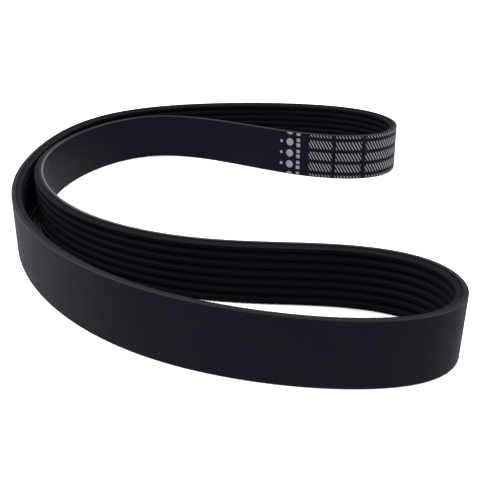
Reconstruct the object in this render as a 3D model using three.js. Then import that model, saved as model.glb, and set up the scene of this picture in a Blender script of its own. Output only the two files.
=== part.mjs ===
// A ribbed serpentine belt, lying free on its cut edge. Millimetres, +Z up.
//
// The belt is one endless piece of rubber. Its back is smooth and faces out of the loop,
// and its lengthwise V ribs face in. Nothing holds it, so it lies folded into a C: an outer
// wall and an inner wall with a pocket between them, and a round nose at each arm's end.
// The inner wall of the C is bent backwards, as it is on the engine's flat idler pulleys.

import * as THREE from 'three';

// Section of the belt
const RIB_COUNT = 7;
const RIB_PITCH = 3.56;
const RIB_HEIGHT = 2.4;
const RIB_ANGLE = 40; // degrees between the two flanks of a rib
const GROOVE_FLAT = 0.56; // width of a groove's bottom
const TIP_ROUND = 0.36; // length of flank and of tip that a rib's corner takes
const BACKING = 2.0; // from the smooth back to the grooves' bottoms
const BACK_BEVEL = 0.45; // along the two cut corners of the back
const CORD_DEPTH = 1.2; // from the smooth back to the line that has the rated length

// Length of the whole loop on the line of the tension cords
const EFFECTIVE_LENGTH = 1125;

// How the loop lies, seen from above. Angles are in degrees from +X, round the middle of the
// C's bay. OUTER is the outer wall's distance from that middle, and POCKET is the width of the
// pocket behind it, both on the cord line. They set the shape, and the length sets its scale.
const NEAR_NOSE = { angle: -55, outer: 130.5 };
const NEAR_ARM = { angle: -67, outer: 155.5, pocket: 60 };
const FRONT = { angle: -101, outer: 130.5, pocket: 48 };
const FRONT_SHOULDER = { angle: -150, outer: 102.5, pocket: 19.5 };
const WAIST = { angle: -205, outer: 111.5 };
const BACK_SHOULDER = { angle: -248, outer: 142.5, pocket: 23.5 };
const FAR_ARM = { angle: -296, outer: 150, pocket: 68.5 };
const FAR_NOSE = { angle: -319, outer: 120 };
const WAIST_GAP = 1.4; // between the rib tips of the two walls at the waist

// How far the front wall's upper edge stands in from its lower edge
const FRONT_LEAN = 1.5;
const NEAR_ARM_LEAN = -1;

// Fineness of the solid
const STATIONS = 112;
const LENGTH_SAMPLES = 1600;

const WIDTH = RIB_COUNT * RIB_PITCH;
const THICKNESS = BACKING + RIB_HEIGHT;
const RIB_SIDE = THICKNESS - CORD_DEPTH; // from the cord line to the rib tips

// A closed cubic spline that passes through its places and bends without a jump, as a belt does
class ClosedSpline extends THREE.Curve {
  constructor(places) {
    super();
    this.arcLengthDivisions = LENGTH_SAMPLES;
    this.control = places.map((place) => place.clone());
    const passes = 40; // each one halves what is still missing
    for (let pass = 0; pass < passes; pass += 1) {
      const misses = places.map((place, i) => place.clone().sub(this.getPoint(i / places.length)));
      misses.forEach((miss, i) => this.control[i].addScaledVector(miss, 1.5));
    }
  }

  getPoint(t, target = new THREE.Vector3()) {
    const count = this.control.length;
    const span = Math.floor(t * count);
    const u = t * count - span;
    const v = 1 - u;
    const weights = [
      v ** 3 / 6,
      (4 - 6 * u ** 2 + 3 * u ** 3) / 6,
      (4 - 6 * v ** 2 + 3 * v ** 3) / 6,
      u ** 3 / 6,
    ];
    target.set(0, 0, 0);
    weights.forEach((weight, k) => {
      target.addScaledVector(this.control[(span + k - 1 + count) % count], weight);
    });
    return target;
  }
}

// A place on the loop as x, y and the lean of the wall there
function placeAt(angle, distance, lean = 0) {
  const turn = THREE.MathUtils.degToRad(angle);
  return new THREE.Vector3(distance * Math.cos(turn), distance * Math.sin(turn), lean);
}

// The cord line at a given scale, counter-clockwise from the waist
function cordLineAt(scale) {
  const outer = (place, lean) => placeAt(place.angle, place.outer * scale, lean);
  const inner = (place) => placeAt(place.angle, (place.outer - place.pocket) * scale);
  const waistPocket = 2 * RIB_SIDE + WAIST_GAP;
  return new ClosedSpline([
    outer(WAIST),
    outer(FRONT_SHOULDER),
    outer(FRONT, FRONT_LEAN),
    outer(NEAR_ARM, NEAR_ARM_LEAN),
    outer(NEAR_NOSE),
    inner(NEAR_ARM),
    inner(FRONT),
    inner(FRONT_SHOULDER),
    placeAt(WAIST.angle, WAIST.outer * scale - waistPocket),
    inner(BACK_SHOULDER),
    inner(FAR_ARM),
    outer(FAR_NOSE),
    outer(FAR_ARM),
    outer(BACK_SHOULDER),
  ]);
}

// The cord line at the scale that gives it the rated length
function makeCordLine() {
  let scale = 1;
  let line = cordLineAt(scale);
  const passes = 12;
  for (let pass = 0; pass < passes; pass += 1) {
    scale *= EFFECTIVE_LENGTH / line.getLength();
    line = cordLineAt(scale);
  }
  return line;
}

// The closed outline of the belt's section. x is the way out of the loop, from the cord line,
// and y is the height above the surface that the belt lies on.
function makeSection() {
  const flank = RIB_HEIGHT * Math.tan(THREE.MathUtils.degToRad(RIB_ANGLE / 2));
  const tip = RIB_PITCH - GROOVE_FLAT - 2 * flank;
  const round = Math.min(TIP_ROUND, tip * 0.45);
  const slope = Math.hypot(flank, RIB_HEIGHT);
  const roundUp = (round * flank) / slope;
  const roundIn = (round * RIB_HEIGHT) / slope;
  const back = CORD_DEPTH;
  const groove = back - BACKING;
  const ribTip = -RIB_SIDE;

  const outline = new THREE.Path();
  outline.moveTo(groove, 0);
  outline.lineTo(back - BACK_BEVEL, 0);
  outline.lineTo(back, BACK_BEVEL);
  outline.lineTo(back, WIDTH - BACK_BEVEL);
  outline.lineTo(back - BACK_BEVEL, WIDTH);
  outline.lineTo(groove, WIDTH);
  for (let rib = RIB_COUNT; rib > 0; rib -= 1) {
    const top = rib * RIB_PITCH - GROOVE_FLAT / 2;
    const tipTop = top - flank;
    const tipBottom = tipTop - tip;
    outline.lineTo(groove, top);
    outline.lineTo(ribTip + roundIn, tipTop + roundUp);
    outline.lineTo(ribTip, tipTop - round);
    outline.lineTo(ribTip, tipBottom + round);
    outline.lineTo(ribTip + roundIn, tipBottom - roundUp);
    outline.lineTo(groove, tipBottom - flank);
  }
  return outline.getPoints();
}

// Stations along the line, closer together where it bends more
function chooseStations(line) {
  const reach = [0];
  const straightest = 1 / EFFECTIVE_LENGTH;
  for (let i = 1; i <= LENGTH_SAMPLES; i += 1) {
    const from = line.getTangent((i - 1) / LENGTH_SAMPLES);
    const to = line.getTangent(i / LENGTH_SAMPLES);
    const step = line.getPoint((i - 1) / LENGTH_SAMPLES).distanceTo(line.getPoint(i / LENGTH_SAMPLES));
    const bend = from.angleTo(to) / step;
    reach.push(reach[i - 1] + step * Math.sqrt(bend + straightest));
  }
  const stations = [];
  for (let k = 0, i = 0; k < STATIONS; k += 1) {
    const wanted = (reach[LENGTH_SAMPLES] * k) / STATIONS;
    while (reach[i + 1] <= wanted) i += 1;
    const share = (wanted - reach[i]) / (reach[i + 1] - reach[i]);
    stations.push((i + share) / LENGTH_SAMPLES);
  }
  return stations;
}

// The section carried round the whole line: a closed ring with no ends
function sweepSection(section, line) {
  const stations = chooseStations(line);
  const corners = section.length;
  const positions = [];
  const triangles = [];
  stations.forEach((t, k) => {
    const place = line.getPoint(t);
    const along = line.getTangent(t).setZ(0).normalize();
    const next = (k + 1) % stations.length;
    section.forEach((corner, i) => {
      const out = corner.x - (place.z * corner.y) / WIDTH;
      positions.push(place.x + along.y * out, place.y - along.x * out, corner.y);
      const a = k * corners + i;
      const b = k * corners + ((i + 1) % corners);
      const c = next * corners + i;
      const d = next * corners + ((i + 1) % corners);
      triangles.push(a, c, b, b, c, d);
    });
  });
  const geometry = new THREE.BufferGeometry();
  geometry.setAttribute('position', new THREE.Float32BufferAttribute(positions, 3));
  geometry.setIndex(triangles);
  geometry.computeVertexNormals();
  return geometry;
}

function makeBelt() {
  const rubber = new THREE.MeshStandardMaterial({
    name: 'black_rubber',
    color: 0x28282d,
    roughness: 0.62,
    metalness: 0,
  });
  const belt = new THREE.Mesh(sweepSection(makeSection(), makeCordLine()), rubber);
  belt.name = 'ribbed_belt';
  const box = new THREE.Box3().setFromObject(belt);
  const middle = box.getCenter(new THREE.Vector3());
  belt.position.set(-middle.x, -middle.y, -box.min.z);
  return belt;
}

const serpentineBelt = new THREE.Group();
serpentineBelt.add(makeBelt());

export default serpentineBelt;
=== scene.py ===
import math
from functools import reduce

import bpy
import numpy as np
from mathutils import Matrix, Vector


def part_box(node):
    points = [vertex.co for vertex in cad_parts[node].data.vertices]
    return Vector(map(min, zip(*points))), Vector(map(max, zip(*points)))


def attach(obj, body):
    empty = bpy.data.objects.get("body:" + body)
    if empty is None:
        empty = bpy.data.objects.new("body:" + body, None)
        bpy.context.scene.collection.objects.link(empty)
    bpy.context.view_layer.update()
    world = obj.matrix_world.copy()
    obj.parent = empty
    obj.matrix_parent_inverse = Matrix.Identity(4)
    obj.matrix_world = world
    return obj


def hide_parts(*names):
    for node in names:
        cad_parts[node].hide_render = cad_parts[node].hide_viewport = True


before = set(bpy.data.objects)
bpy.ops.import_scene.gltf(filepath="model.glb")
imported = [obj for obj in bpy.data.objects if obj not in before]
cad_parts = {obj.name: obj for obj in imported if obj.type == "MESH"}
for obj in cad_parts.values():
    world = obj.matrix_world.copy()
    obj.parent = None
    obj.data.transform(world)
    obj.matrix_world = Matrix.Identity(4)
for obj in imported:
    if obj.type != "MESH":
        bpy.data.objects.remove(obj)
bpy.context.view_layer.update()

MM = 0.001

# Section of the belt, as in the part's source, with its corners rounded
RIB_COUNT = 7
RIB_PITCH = 3.56 * MM
RIB_HEIGHT = 2.4 * MM
RIB_ANGLE = math.radians(40)
GROOVE_FLAT = 0.56 * MM
BACKING = 2.0 * MM
CORD_DEPTH = 1.2 * MM
TIP_RADIUS = 0.5 * MM
GROOVE_RADIUS = 0.34 * MM
BACK_RADIUS = 0.35 * MM
CUT_RADIUS = 0.12 * MM
CORNER_STEPS = 3

WIDTH = RIB_COUNT * RIB_PITCH
THICKNESS = BACKING + RIB_HEIGHT
RIB_SIDE = THICKNESS - CORD_DEPTH

# How the loop lies: angle in degrees from +X round the middle of the bay, the outer wall's
# distance from it and the width of the pocket behind that wall, both on the cord line
EFFECTIVE_LENGTH = 1125 * MM
NEAR_NOSE = (-55, 130.5 * MM)
NEAR_ARM = (-67, 155.5 * MM, 60 * MM)
FRONT = (-101, 130.5 * MM, 48 * MM)
FRONT_SHOULDER = (-150, 102.5 * MM, 19.5 * MM)
WAIST = (-205, 111.5 * MM)
BACK_SHOULDER = (-248, 142.5 * MM, 23.5 * MM)
FAR_ARM = (-296, 150 * MM, 68.5 * MM)
FAR_NOSE = (-319, 120 * MM)
WAIST_GAP = 1.4 * MM
FRONT_LEAN = 1.5 * MM
NEAR_ARM_LEAN = -1 * MM
STATIONS = 720
FINE_STEPS = 8000
LENGTH_PASSES = 12

# Camera, from the fit to the photograph's edges
CAMERA_PLACE = (7.952 * MM, -358.336 * MM, 140.87 * MM)
CAMERA_DIP = math.radians(22.848)
CAMERA_LENS = 59.03
SENSOR = 36.0


class Value:
    """An output socket with arithmetic: an expression on it adds the Math nodes it needs."""

    def __init__(self, tree, socket):
        self.tree = tree
        self.socket = socket

    def beside(self, name):
        """Another output of the same node."""
        return Value(self.tree, self.socket.node.outputs[name])

    def maths(self, operation, *numbers):
        return self.tree.make("ShaderNodeMath", {"operation": operation}, dict(enumerate(numbers)))

    def __add__(self, other):
        return self.maths("ADD", self, other)

    def __sub__(self, other):
        return self.maths("SUBTRACT", self, other)

    def __rsub__(self, other):
        return self.maths("SUBTRACT", other, self)

    def __mul__(self, other):
        return self.maths("MULTIPLY", self, other)

    def __truediv__(self, other):
        return self.maths("DIVIDE", self, other)

    def __mod__(self, other):
        return self.maths("FLOORED_MODULO", self, other)

    def __lt__(self, other):
        return self.maths("LESS_THAN", self, other)

    def __gt__(self, other):
        return self.maths("GREATER_THAN", self, other)

    def __abs__(self):
        return self.maths("ABSOLUTE", self)

    __radd__ = __add__
    __rmul__ = __mul__

    def least(self, other):
        return self.maths("MINIMUM", self, other)

    def most(self, other):
        return self.maths("MAXIMUM", self, other)

    def floor(self):
        return self.maths("FLOOR", self)

    def root(self):
        return self.maths("SQRT", self)

    def sine(self):
        return self.maths("SINE", self)

    def tangent(self):
        return self.maths("TANGENT", self)

    def step(self, low, high):
        """0 below low, 1 above high and a soft step between them."""
        return self.tree.make(
            "ShaderNodeMapRange",
            {"interpolation_type": "SMOOTHSTEP"},
            {"Value": self, "From Min": low, "From Max": high},
        )


class Tree:
    """A shader or geometry node tree that is built by calls of make."""

    def __init__(self, tree):
        self.tree = tree

    def make(self, kind, settings=None, sockets=None, output=None):
        """Adds one node: its settings first, then the values or links of its sockets."""
        node = self.tree.nodes.new(kind)
        for name, setting in (settings or {}).items():
            setattr(node, name, setting)
        for key, given in (sockets or {}).items():
            socket = self.find(node.inputs, key)
            if isinstance(given, Value):
                self.link(given, socket)
            else:
                socket.default_value = given
        return Value(self, self.find(node.outputs, output or 0))

    @staticmethod
    def find(sockets, key):
        live = [s for s in sockets if s.enabled]
        return live[key] if isinstance(key, int) else next(s for s in live if s.name == key)

    def link(self, value, socket):
        self.tree.links.new(value.socket, socket)

    def vector(self, operation, first, second):
        return self.make("ShaderNodeVectorMath", {"operation": operation}, {0: first, 1: second})

    def combine(self, x, y, z=0.0):
        return self.make("ShaderNodeCombineXYZ", None, {"X": x, "Y": y, "Z": z})

    def component(self, vector, axis):
        return self.make("ShaderNodeSeparateXYZ", None, {0: vector}, axis)

    def blend(self, share, first, second):
        """A colour between two others."""
        return self.make(
            "ShaderNodeMix", {"data_type": "RGBA"}, {"Factor": share, "A": first, "B": second}
        )

    def toned(self, tone, colour):
        """A colour made darker or lighter: a tone of 1 leaves it as it is."""
        factors = colour if isinstance(colour, Value) else colour[:3]
        return self.vector("MULTIPLY", self.combine(tone, tone, tone), factors)

    def stored(self, name, kind="FLOAT"):
        """A field that reads an attribute."""
        return self.make("GeometryNodeInputNamedAttribute", {"data_type": kind}, {"Name": name})

    def store(self, geometry, name, value, kind="FLOAT", domain="POINT"):
        """The geometry with a field kept on it as an attribute."""
        return self.make(
            "GeometryNodeStoreNamedAttribute",
            {"data_type": kind, "domain": domain},
            {"Geometry": geometry, "Name": name, "Value": value},
        )

    def over_face(self, value):
        """The mean of a field over each face."""
        return self.make(
            "GeometryNodeFieldOnDomain", {"data_type": "FLOAT", "domain": "FACE"}, {0: value}
        )


def add_object(name, data):
    made = bpy.data.objects.new(name, data)
    bpy.context.scene.collection.objects.link(made)
    return made


def place_at(angle, distance, lean=0.0):
    turn = math.radians(angle)
    return (distance * math.cos(turn), distance * math.sin(turn), lean)


def places_at(scale):
    """The places that the cord line passes through, counter-clockwise from the waist."""

    def outer(place, lean=0.0):
        return place_at(place[0], place[1] * scale, lean)

    def inner(place):
        return place_at(place[0], (place[1] - place[2]) * scale)

    return np.array([
        outer(WAIST),
        outer(FRONT_SHOULDER),
        outer(FRONT, FRONT_LEAN),
        outer(NEAR_ARM, NEAR_ARM_LEAN),
        outer(NEAR_NOSE),
        inner(NEAR_ARM),
        inner(FRONT),
        inner(FRONT_SHOULDER),
        place_at(WAIST[0], WAIST[1] * scale - 2 * RIB_SIDE - WAIST_GAP),
        inner(BACK_SHOULDER),
        inner(FAR_ARM),
        outer(FAR_NOSE),
        outer(FAR_ARM),
        outer(BACK_SHOULDER),
    ])


def spline_through(places, steps):
    """Points of the closed cubic spline that passes through the places."""
    count = len(places)
    here = np.eye(count)
    weights = (4 * here + np.roll(here, 1, 0) + np.roll(here, -1, 0)) / 6
    control = np.linalg.solve(weights, places)
    t = np.arange(steps) * count / steps
    span = np.floor(t).astype(int)
    u = (t - span)[:, None]
    v = 1 - u
    shares = (v**3 / 6, (4 - 6 * u**2 + 3 * u**3) / 6, (4 - 6 * v**2 + 3 * v**3) / 6, u**3 / 6)
    return sum(share * control[(span + k - 1) % count] for k, share in enumerate(shares))


def cord_line():
    """Evenly spaced stations on the cord line, and how far along the belt each one is."""
    scale = 1.0
    for _ in range(LENGTH_PASSES):
        fine = spline_through(places_at(scale), FINE_STEPS)
        reach = np.linalg.norm(np.roll(fine, -1, 0) - fine, axis=1)
        scale *= EFFECTIVE_LENGTH / reach.sum()
    closed = np.vstack([fine, fine[:1]])
    reached = np.concatenate([[0], np.cumsum(reach)])
    along = np.arange(STATIONS) * reached[-1] / STATIONS
    return np.stack([np.interp(along, reached, closed[:, k]) for k in range(3)], 1), along


def ring_of(stations, along):
    """A ring of edges on the surface, with the lean and the distance along as attributes."""
    mesh = bpy.data.meshes.new("cord_line")
    flat = stations * (1, 1, 0)
    edges = [(k, (k + 1) % len(flat)) for k in range(len(flat))]
    mesh.from_pydata(flat.tolist(), edges, [])
    for name, values in (("lean", stations[:, 2]), ("along", along)):
        mesh.attributes.new(name, "FLOAT", "POINT").data.foreach_set("value", values)
    return add_object("belt_sweep", mesh)


class Finish:
    """A rubber finish: its material, and where a point lies on the straightened belt."""

    def __init__(self, name):
        self.material = bpy.data.materials.new(name)
        self.material.use_nodes = True
        self.shader = self.material.node_tree.nodes["Principled BSDF"]
        self.tree = Tree(self.material.node_tree)
        belt_map = self.tree.make("ShaderNodeUVMap", {"uv_map": "belt"})
        self.along = self.tree.component(belt_map, "X")
        self.height = self.along.beside("Y")
        self.depth = self.tree.make("ShaderNodeAttribute", {"attribute_name": "depth"}, None, "Fac")
        self.place = self.tree.combine(self.along, self.height, self.depth)

    def grain(self, sizes, detail=2.0, roughness=0.5):
        """Noise of about 0 to 1 with features this many millimetres along, up and into the belt."""
        stretched = self.tree.vector("DIVIDE", self.place, [size * MM for size in sizes])
        return self.tree.make(
            "ShaderNodeTexNoise",
            None,
            {"Vector": stretched, "Scale": 1.0, "Detail": detail, "Roughness": roughness},
        )

    def done(self, colour, roughness, relief, gloss, bump=0.6):
        """The material, with a relief in millimetres and its gloss as a specular level."""
        height = {"Strength": bump, "Distance": MM, "Height": relief}
        normal = self.tree.make("ShaderNodeBump", None, height)
        for name, value in (("Base Color", colour), ("Roughness", roughness), ("Normal", normal)):
            self.tree.link(value, self.shader.inputs[name])
        self.shader.inputs["Specular IOR Level"].default_value = gloss
        return self.material


# Printed marks on the back, in rows, in millimetres. Each one's middle is given along the row
# and up from the row's middle: discs by their radius, bars by half their length and height.
# Hatched fields are given by where they start and end.
PRINT_START = 761.3
PRINT_ROW = 6.5
PRINT_DISCS = ((1.4, 0.0, 0.85), (6.6, 0.0, 2.1))
PRINT_BARS = ((11.7, 1.5, 1.0, 0.9), (11.7, -1.4, 1.1, 1.0))
PRINT_FIELDS = ((18.0, 31.0), (33.0, 47.0), (49.4, 75.0), (79.0, 116.0))
FIELD_HEIGHT = 4.4
HATCH_PITCH = 1.75
HATCH_LINE = 0.55
HATCH_SLANT = 0.6
INK_INSIDE = -0.12
INK_OUTSIDE = 0.16


def printed(rubber):
    """1 where the pale print lies on the back and 0 elsewhere."""
    u = rubber.along / MM - PRINT_START
    v = (rubber.height / MM - WIDTH / MM / 2 + PRINT_ROW / 2) % PRINT_ROW - PRINT_ROW / 2
    marks = []
    for middle, up, radius in PRINT_DISCS:
        across = u - middle
        rise = v - up
        marks.append((across * across + rise * rise).root() - radius)
    for middle, up, half_length, half_height in PRINT_BARS:
        marks.append((abs(u - middle) - half_length).most(abs(v - up) - half_height))
    hatch = abs((u + v * HATCH_SLANT) % HATCH_PITCH - HATCH_PITCH / 2) - HATCH_LINE / 2
    for start, end in PRINT_FIELDS:
        field = (abs(u - (start + end) / 2) - (end - start) / 2).most(abs(v) - FIELD_HEIGHT / 2)
        marks.append(field.most(hatch))
    return 1 - reduce(Value.least, marks).step(INK_INSIDE, INK_OUTSIDE)


BACK_BLACK = (0.0039, 0.0046, 0.012, 1)
PRINT_GREY = (0.7, 0.68, 0.78, 1)
BACK_GLOSS = 0.123
WEAVE_PITCH = 0.96 * MM
WEAVE_SLOPE = math.radians(35)


def woven_back():
    """The smooth side: rubber with a fine bias weave pressed into it, and the pale print."""
    rubber = Finish("fabric_backed_rubber")
    lengthwise = rubber.along * (math.cos(WEAVE_SLOPE) / WEAVE_PITCH)
    upward = rubber.height * (math.sin(WEAVE_SLOPE) / WEAVE_PITCH)
    warp = abs(((lengthwise + upward) * math.pi).sine())
    weft = abs(((lengthwise - upward) * math.pi).sine())
    threads = warp * 0.6 + weft * 0.4
    clouds = rubber.grain((9, 6, 6), detail=3.0)
    fine = rubber.grain((0.35, 0.35, 0.35))
    tone = 0.66 + threads * 0.42 + (clouds - 0.5) * 0.3 + (fine - 0.5) * 0.25
    ink = printed(rubber) * (0.82 + (fine - 0.5) * 0.5)
    return rubber.done(
        colour=rubber.tree.blend(ink, rubber.tree.toned(tone, BACK_BLACK), PRINT_GREY),
        roughness=0.56 + (clouds - 0.5) * 0.16,
        relief=threads * 0.03 + fine * 0.012 + clouds * 0.03,
        gloss=BACK_GLOSS,
    )


EDGE_BLACK = (0.0172, 0.0172, 0.0255, 1)
EDGE_GLOSS = 0.1
CORNER_GLOSS = 0.2
# Pale colours of the painted highlight on the back's corners and on the strip beside them, by the
# waist
CORNER_HIGHLIGHT = (0.2, 0.2, 0.235, 1)
EDGE_HIGHLIGHT = (0.28, 0.28, 0.32, 1)


def highlight_by_waist(along):
    """1 on the wall by the waist, where a painted highlight lies on the back's corners, and 0 far from
    it.
    """
    return along.step(300 * MM, 450 * MM) * (1 - along.step(550 * MM, 620 * MM))


def knife_cut_edge():
    """The two cut edges: bare rubber with lengthwise knife marks and a dark line where the backing
    ends, partly the fabric's edge and partly painted shade, and a painted highlight on a strip beside
    the back by the waist."""
    rubber = Finish("knife_cut_rubber")
    drag = rubber.grain((5, 0.2, 0.12), detail=3.0, roughness=0.6)
    rough = rubber.grain((0.5, 0.5, 0.4), detail=3.0)
    # Partly the fabric's edge and partly painted shade: the cut edge darkens where it nears the
    # backing's end, beside the first groove
    fabric_edge_and_shade = rubber.depth.step(BACKING - 0.3 * MM, BACKING - 0.15 * MM)
    tone = (0.72 + drag * 0.5 + (rough - 0.5) * 0.3) * (1 - fabric_edge_and_shade * 0.9)
    # Painted highlight: a strip beside the back, by the waist, is made pale
    narrowed = rubber.along.step(480 * MM, 530 * MM) * (0.45 * MM)
    strip = 1 - (rubber.depth + narrowed).step(1.1 * MM, 1.45 * MM)
    painted_highlight = highlight_by_waist(rubber.along) * strip * (0.6 + drag * 0.6)
    return rubber.done(
        colour=rubber.tree.blend(painted_highlight, rubber.tree.toned(tone, EDGE_BLACK), EDGE_HIGHLIGHT),
        roughness=0.6 + (rough - 0.5) * 0.2,
        relief=drag * 0.05 + rough * 0.03,
        gloss=EDGE_GLOSS,
    )


def rounded_corner():
    """The back's rounded corners, smoother than the faces beside them, with a painted highlight on
    them by the waist.
    """
    rubber = Finish("smooth_corner_with_painted_highlight")
    rub = rubber.grain((3, 0.3, 0.3))
    # Painted highlight: by the waist the corners are made pale
    painted_highlight = highlight_by_waist(rubber.along) * (0.6 + rub * 0.6)
    black = rubber.tree.toned(0.8 + rub * 0.4, EDGE_BLACK)
    return rubber.done(
        colour=rubber.tree.blend(painted_highlight, black, CORNER_HIGHLIGHT),
        roughness=0.34 + rub * 0.1,
        relief=rub * 0.03,
        gloss=CORNER_GLOSS,
        bump=0.4,
    )


RIB_BLACK = (0.0098, 0.0102, 0.015, 1)
# The flanks' colour, paler for painted light on them
PAINTED_LIGHT_FLANK = (0.026, 0.026, 0.034, 1)
FIBRE_GREY = (0.03, 0.029, 0.03, 1)
RIB_GLOSS = 0.012


def ribbed_rubber():
    """The ribs: ground rubber with short fibres in it, with painted light on the flanks and painted
    shade in the groove bottoms.
    """
    rubber = Finish("ground_rib_rubber")
    ground = rubber.grain((7, 0.16, 0.16), detail=3.0, roughness=0.6)
    clouds = rubber.grain((6, 3, 3))
    fibre = rubber.grain((0.12, 0.5, 0.3), detail=1.0)
    # Painted light on the flanks, which are made paler than the tips, and painted shade in the groove
    # bottoms, which are darker still
    above_groove = rubber.depth.step(BACKING + 0.05 * MM, BACKING + 0.4 * MM)
    on_tip = rubber.depth.step(THICKNESS - 0.35 * MM, THICKNESS - 0.05 * MM)
    black = rubber.tree.blend(above_groove * (1 - on_tip), RIB_BLACK, PAINTED_LIGHT_FLANK)
    tone = (0.8 + ground * 0.3 + (clouds - 0.5) * 0.3) * (0.85 + above_groove * 0.15)
    fibres = fibre.step(0.68, 0.76) * 0.35
    return rubber.done(
        colour=rubber.tree.blend(fibres, rubber.tree.toned(tone, black), FIBRE_GREY),
        roughness=0.62 + (clouds - 0.5) * 0.16,
        relief=ground * 0.03 + fibre * 0.02,
        gloss=RIB_GLOSS,
    )


BELT_SIZES = {
    "Rib pitch": RIB_PITCH,
    "Rib height": RIB_HEIGHT,
    "Rib angle": RIB_ANGLE,
    "Groove flat": GROOVE_FLAT,
    "Backing": BACKING,
    "Cord depth": CORD_DEPTH,
    "Tip radius": TIP_RADIUS,
    "Groove radius": GROOVE_RADIUS,
    "Back radius": BACK_RADIUS,
    "Cut radius": CUT_RADIUS,
    "Loop length": EFFECTIVE_LENGTH,
}
BELT_COUNTS = {"Ribs": RIB_COUNT, "Corner steps": CORNER_STEPS}


def belt_tree(back, rounding, edge, ribs):
    """The tree that sweeps the ribbed section round a ring of edges."""
    group = bpy.data.node_groups.new("ribbed_belt_sweep", "GeometryNodeTree")
    group.interface.new_socket("Geometry", in_out="INPUT", socket_type="NodeSocketGeometry")
    for name in BELT_SIZES:
        group.interface.new_socket(name, in_out="INPUT", socket_type="NodeSocketFloat")
    for name in BELT_COUNTS:
        group.interface.new_socket(name, in_out="INPUT", socket_type="NodeSocketInt")
    group.interface.new_socket("Geometry", in_out="OUTPUT", socket_type="NodeSocketGeometry")
    tree = Tree(group)
    given = group.nodes.new("NodeGroupInput")
    size = {s.name: Value(tree, s) for s in given.outputs if s.name}

    # The section's corners by rule: four to a rib, then four round the back
    index = tree.make("GeometryNodeInputIndex")
    rib_corners = size["Ribs"] * 4
    on_ribs = index < rib_corners
    width = size["Ribs"] * size["Rib pitch"]
    turn = index % 4
    second_half = turn > 1.5
    side = second_half * 2 - 1
    low = abs(turn - 1.5) > 1
    flank = (size["Rib angle"] / 2).tangent() * size["Rib height"]
    half_tip = (size["Rib pitch"] - size["Groove flat"]) / 2 - flank
    rib_middle = ((index / 4).floor() + 0.5) * size["Rib pitch"]
    rib_up = rib_middle + side * (half_tip + low * flank)
    rib_depth = size["Backing"] + (1 - low) * size["Rib height"]
    rib_radius = low * size["Groove radius"] + (1 - low) * size["Tip radius"]
    back_up = width * (1 - second_half)
    back_depth = low * size["Backing"]
    back_radius = low * size["Cut radius"] + (1 - low) * size["Back radius"]
    up = on_ribs * rib_up + (1 - on_ribs) * back_up
    depth = on_ribs * rib_depth + (1 - on_ribs) * back_depth
    radius = on_ribs * rib_radius + (1 - on_ribs) * back_radius

    # The corners joined in a ring and rounded, with each point's depth below the back kept
    line = tree.make("GeometryNodeMeshLine", None, {"Count": rib_corners + 4})
    section = tree.make("GeometryNodeMeshToCurve", None, {"Mesh": line})
    corner = tree.combine(size["Cord depth"] - depth, 0 - up)
    section = tree.make(
        "GeometryNodeSetPosition", None, {"Geometry": section, "Position": corner}
    )
    section = tree.make(
        "GeometryNodeSetSplineCyclic", None, {"Geometry": section, "Cyclic": True}
    )
    section = tree.make(
        "GeometryNodeFilletCurve",
        {"mode": "POLY"},
        {"Curve": section, "Count": size["Corner steps"], "Radius": radius, "Limit Radius": True},
    )
    position = tree.make("GeometryNodeInputPosition")
    across = tree.component(position, "X")
    section = tree.store(section, "depth", size["Cord depth"] - across)

    # The ring as a curve whose normals point out of the loop
    loop = tree.make("GeometryNodeMeshToCurve", None, {"Mesh": size["Geometry"]})
    loop = tree.make("GeometryNodeSetCurveNormal", {"mode": "Z_UP"}, {"Curve": loop})
    normal = tree.make("GeometryNodeInputNormal")
    loop = tree.store(loop, "outward", normal, kind="FLOAT_VECTOR")
    belt = tree.make("GeometryNodeCurveToMesh", None, {"Curve": loop, "Profile Curve": section})

    # The walls that lean are moved sideways with their height
    height = tree.component(position, "Z")
    shift = tree.make(
        "ShaderNodeVectorMath",
        {"operation": "SCALE"},
        {0: tree.stored("outward", "FLOAT_VECTOR"), "Scale": 0 - tree.stored("lean") * height / width},
    )
    belt = tree.make("GeometryNodeSetPosition", None, {"Geometry": belt, "Offset": shift})

    # A map of the straightened belt, without a jump where the ring closes
    along = tree.stored("along")
    quarter = size["Loop length"] / 4
    past_end = (abs(tree.over_face(along) - along) > quarter) * (along < quarter)
    place = tree.combine(along + past_end * size["Loop length"], height)
    belt = tree.store(belt, "belt", place, kind="FLOAT2", domain="CORNER")
    for name in ("lean", "outward", "along"):
        belt = tree.make("GeometryNodeRemoveAttribute", None, {"Geometry": belt, "Name": name})
    belt = tree.make("GeometryNodeSetShadeSmooth", None, {"Geometry": belt})

    # Finishes: the ribs' all over, then the others over it, each on what is less deep
    belt = tree.make("GeometryNodeRealizeInstances", None, {"Geometry": belt})
    belt = tree.make("GeometryNodeSetMaterial", None, {"Geometry": belt, "Material": ribs})
    face_depth = tree.over_face(tree.stored("depth"))
    finishes = (
        (edge, size["Backing"] - 0.001 * MM),
        (rounding, size["Back radius"] * 0.97),
        (back, 0.004 * MM),
    )
    for finish, deepest in finishes:
        belt = tree.make(
            "GeometryNodeSetMaterial",
            None,
            {"Geometry": belt, "Selection": face_depth < deepest, "Material": finish},
        )
    out = group.nodes.new("NodeGroupOutput")
    tree.link(belt, out.inputs["Geometry"])
    return group


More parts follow.
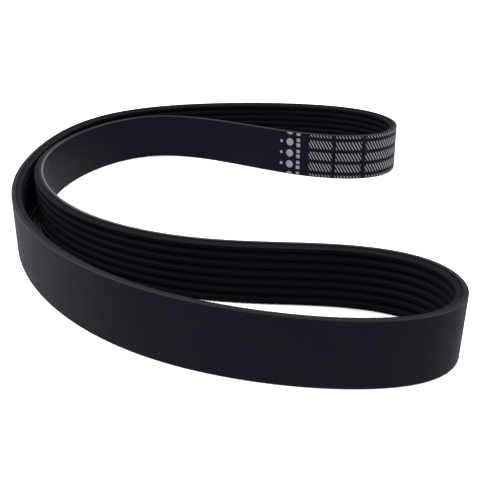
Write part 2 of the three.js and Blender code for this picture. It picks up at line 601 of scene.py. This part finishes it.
def make_belt():
    """The belt as one plain mesh, with its box in the middle of the CAD belt's box."""
    ring = ring_of(*cord_line())
    sweep = ring.modifiers.new("sweep", "NODES")
    sweep.node_group = belt_tree(woven_back(), rounded_corner(), knife_cut_edge(), ribbed_rubber())
    identifiers = {
        item.name: item.identifier
        for item in sweep.node_group.interface.items_tree
        if item.in_out == "INPUT"
    }
    for name, value in {**BELT_SIZES, **BELT_COUNTS}.items():
        sweep[identifiers[name]] = value
    weighted = ring.modifiers.new("even_shading", "WEIGHTED_NORMAL")
    weighted.mode = "FACE_AREA"
    weighted.weight = 50
    graph = bpy.context.evaluated_depsgraph_get()
    mesh = bpy.data.meshes.new_from_object(
        ring.evaluated_get(graph), preserve_all_data_layers=True, depsgraph=graph
    )
    bpy.data.objects.remove(ring)
    belt = add_object("folded_rubber_belt", mesh)
    points = np.array([v.co for v in mesh.vertices])
    low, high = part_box("ribbed_belt")
    shift = (np.array(low) + np.array(high)) / 2 - (points.min(0) + points.max(0)) / 2
    mesh.transform(Matrix.Translation((shift[0], shift[1], 0)))
    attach(belt, "root")
    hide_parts("ribbed_belt")


def seen_by(tree, *kinds):
    """1 for rays of the named kinds and 0 for all others."""
    path = tree.make("ShaderNodeLightPath")
    return reduce(Value.most, [path.beside(kind) for kind in kinds])


# The floor's colour in the light that it throws, and how the camera sees it: white, and dark
# only deep in a narrow pocket, where little of the sky is open
FLOOR_PALE = (0.85, 0.85, 0.85, 1)
FLOOR_WHITE = (3.8, 3.8, 3.8, 1)
FLOOR_DEEP = (0.03, 0.03, 0.035, 1)
SKY_DISTANCE = 80 * MM
FLOOR_REACH = 1.2
FLOOR_DROP = 0.05 * MM


def make_floor():
    """A matt floor, which keeps the belt's shadow and is plain white in reflections."""
    mesh = bpy.data.meshes.new("floor")
    quarters = ((-1, -1), (1, -1), (1, 1), (-1, 1))
    corners = [(x * FLOOR_REACH, y * FLOOR_REACH, -FLOOR_DROP) for x, y in quarters]
    mesh.from_pydata(corners, [], [(0, 1, 2, 3)])
    floor = add_object("floor", mesh)
    material = bpy.data.materials.new("pale_floor")
    material.use_nodes = True
    nodes = material.node_tree.nodes
    nodes.remove(nodes["Principled BSDF"])
    tree = Tree(material.node_tree)
    open_sky = tree.make(
        "ShaderNodeAmbientOcclusion", {"samples": 24}, {"Distance": SKY_DISTANCE}, "AO"
    )
    # Painted shade: to the camera the floor goes dark where the ambient occlusion finds little open
    # sky
    seen = tree.blend(open_sky.step(0.11, 0.29), FLOOR_DEEP, FLOOR_WHITE)
    colour = tree.blend(seen_by(tree, "Is Camera Ray"), FLOOR_PALE, seen)
    matt = tree.make("ShaderNodeBsdfDiffuse", None, {"Color": colour})
    white = tree.make("ShaderNodeEmission", None, {"Color": (1, 1, 1, 1), "Strength": 1.0})
    mirrored = seen_by(tree, "Is Glossy Ray", "Is Transmission Ray")
    mixed = tree.make("ShaderNodeMixShader", None, {0: mirrored, 1: matt, 2: white})
    tree.link(mixed, nodes["Material Output"].inputs["Surface"])
    mesh.materials.append(material)


WORLD_LIGHT = 0.24


def make_world():
    """Even soft light all round, and plain white where the background is seen."""
    world = bpy.data.worlds.new("studio")
    bpy.context.scene.world = world
    world.use_nodes = True
    tree = Tree(world.node_tree)
    background = world.node_tree.nodes["Background"]
    background.inputs["Color"].default_value = (1, 1, 1, 1)
    seen = seen_by(tree, "Is Camera Ray", "Is Glossy Ray", "Is Transmission Ray")
    tree.link(WORLD_LIGHT + seen * (1 - WORLD_LIGHT), background.inputs["Strength"])


# Soft boxes, all turned to the belt's middle: name, place in metres and power in watts
SOFT_BOXES = (
    ("left_soft_box", (-0.9, 0.0, 0.9), 5.4),
    ("right_soft_box", (0.9, 0.0, 0.9), 5.0),
    ("front_soft_box", (0.0, -1.2, 0.7), 1.0),
)
SOFT_BOX_SIDE = 0.8


def make_lights():
    for name, place, power in SOFT_BOXES:
        light = bpy.data.lights.new(name, "AREA")
        light.shape = "SQUARE"
        light.size = SOFT_BOX_SIDE
        light.energy = power
        lamp = add_object(name, light)
        lamp.location = place
        lamp.rotation_euler = Vector(place).to_track_quat("Z", "Y").to_euler()


def make_camera():
    view = bpy.data.cameras.new("camera")
    view.lens = CAMERA_LENS
    view.sensor_width = SENSOR
    view.sensor_fit = "HORIZONTAL"
    view.clip_start = 10 * MM
    camera = add_object("camera", view)
    camera.location = CAMERA_PLACE
    camera.rotation_euler = (math.pi / 2 - CAMERA_DIP, 0, 0)
    bpy.context.scene.camera = camera


make_belt()
make_floor()
make_world()
make_lights()
make_camera()
bpy.context.scene.view_settings.view_transform = "Standard"
